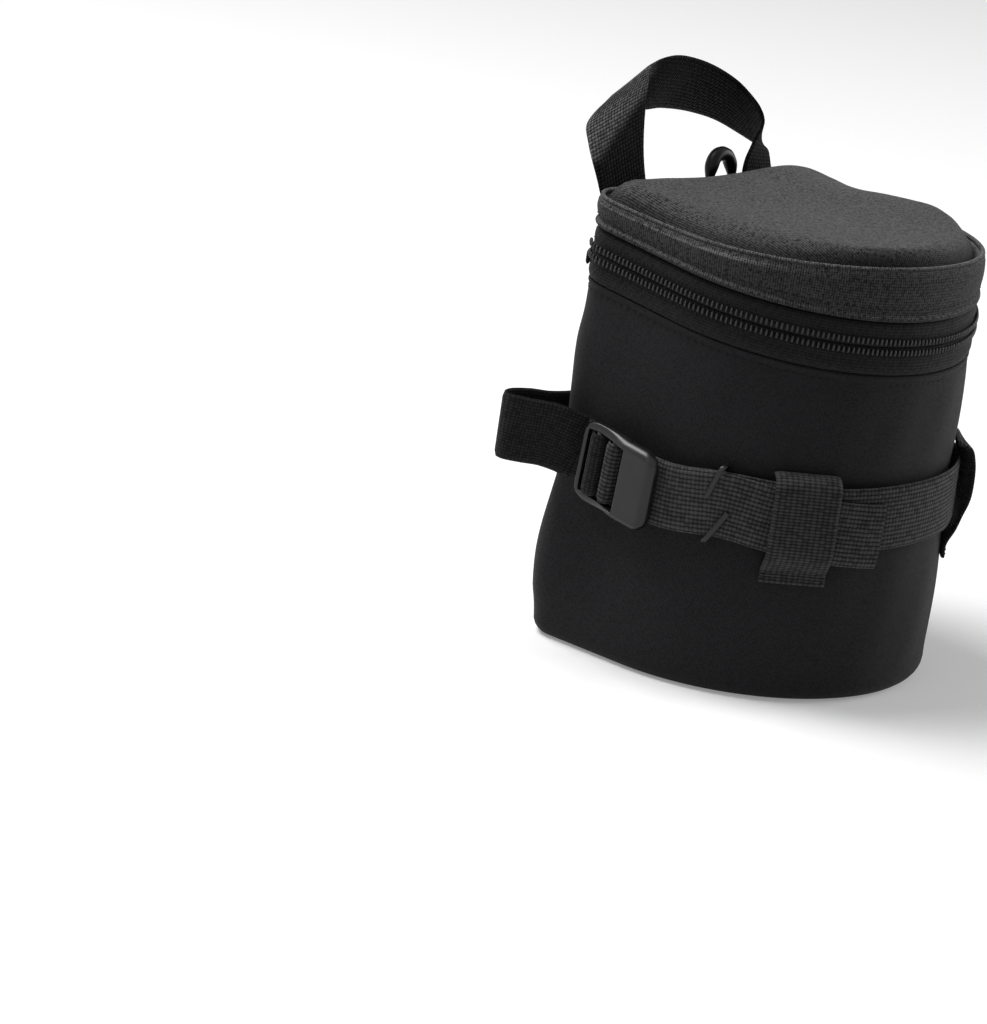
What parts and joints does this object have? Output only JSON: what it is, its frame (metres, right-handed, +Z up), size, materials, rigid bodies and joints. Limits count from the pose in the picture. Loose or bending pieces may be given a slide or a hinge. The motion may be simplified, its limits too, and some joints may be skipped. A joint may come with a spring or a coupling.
{
  "type": "lens pouch",
  "caption": "Padded D-shaped lens pouch with a zipped hinged lid, rear carrying loop, side compression strap with buckle, webbing loops and a rear belt tab.",
  "frame": {"origin": "on the underside of the base, on the upright axis of the round front", "axes": "+Z up, the round front faces -Y, the flat back with the belt tab faces +Y, +X is the right side seen from the front"},
  "size_m": [0.1403, 0.1234, 0.1701],
  "materials": {
    "shell_fabric": "fine smooth woven nylon, black",
    "lid_fabric": "coarse twill woven nylon, dark grey-black",
    "padding": "closed-cell foam padding, dark",
    "lining": "brushed lining cloth, grey",
    "zip_tape": "fine woven zip tape, black",
    "zip_teeth": "nylon coil, black",
    "webbing": "ribbed woven webbing, black",
    "touch_fastener": "hook and loop, black",
    "buckle_plastic": "satin moulded plastic, black",
    "zip_metal": "black painted metal, satin"
  },
  "bodies": {
    "case": {"outer_wall": "shell_fabric", "back_panel": "shell_fabric", "base_panel": "shell_fabric", "wall_foam": "padding", "base_foam": "padding", "wall_lining": "lining", "base_lining": "lining", "mouth_binding": "webbing", "zip_tape_lower": "zip_tape", "zip_coil_lower": "zip_teeth", "zip_end_tab_left": "webbing", "zip_end_tab_right": "webbing", "side_strap": "webbing", "anchor_loop": "webbing", "front_loop_left": "webbing", "front_loop_right": "webbing", "handle_end_left": "webbing", "handle_end_right": "webbing", "belt_tab_seam": "webbing", "loop_patch": "touch_fastener"},
    "lid": {"lid_side_band": "lid_fabric", "lid_back_strip": "shell_fabric", "lid_top_panel": "lid_fabric", "lid_foam": "padding", "lid_lining": "lining", "zip_tape_upper": "zip_tape", "zip_coil_upper": "zip_teeth", "ring_tab": "webbing"},
    "carry_loop": {"handle_loop": "webbing"},
    "slider": {"zip_slider": "zip_metal"},
    "pull": {"zip_pull": "zip_metal"},
    "buckle": {"ladder_lock": "buckle_plastic"},
    "keeper": {"strap_keeper": "buckle_plastic"},
    "belt_flap": {"belt_tab": "webbing", "hook_patch": "touch_fastener"},
    "ring": {"lid_ring": "buckle_plastic"}
  },
  "joints": [
    {"name": "lid_open", "type": "hinge", "parent": "case", "child": "lid", "pos_m": [0, 0.0383, 0.12004], "axis": [-1, 0, 0], "range_deg": [0, 100]},
    {"name": "carry_loop_fold", "type": "hinge", "parent": "case", "child": "carry_loop", "pos_m": [0, 0.0393, 0.11484], "axis": [-1, 0, 0], "range_deg": [0, 100]},
    {"name": "slider_travel", "type": "hinge", "parent": "case", "child": "slider", "pos_m": [0, 0, 0.1158], "axis": [0, 0.1123, -0.9937], "range_deg": [0, 170]},
    {"name": "pull_flip", "type": "hinge", "parent": "slider", "child": "pull", "pos_m": [0.06111, 0.00144, 0.11596], "axis": [0, 0.1123, -0.9937], "range_deg": [0, 110]},
    {"name": "buckle_tilt", "type": "hinge", "parent": "case", "child": "buckle", "pos_m": [-0.06253, 0.009, 0.059], "axis": [0, 0.1392, -0.9903], "range_deg": [0, 12]},
    {"name": "keeper_slide", "type": "hinge", "parent": "case", "child": "keeper", "pos_m": [0, 0, 0.0584], "axis": [0, 0, 1], "range_deg": [-6, 6]},
    {"name": "belt_flap_open", "type": "hinge", "parent": "case", "child": "belt_flap", "pos_m": [0, 0.03995, 0.09885], "axis": [1, 0, 0], "range_deg": [0, 50]},
    {"name": "ring_swing", "type": "hinge", "parent": "lid", "child": "ring", "pos_m": [0.0125, 0.0405, 0.13154], "axis": [-1, 0, 0], "range_deg": [0, 80]}
  ],
  "couplings": [
    {"joint": "carry_loop_fold", "follows": "lid_open", "ratio": 1}
  ]
}
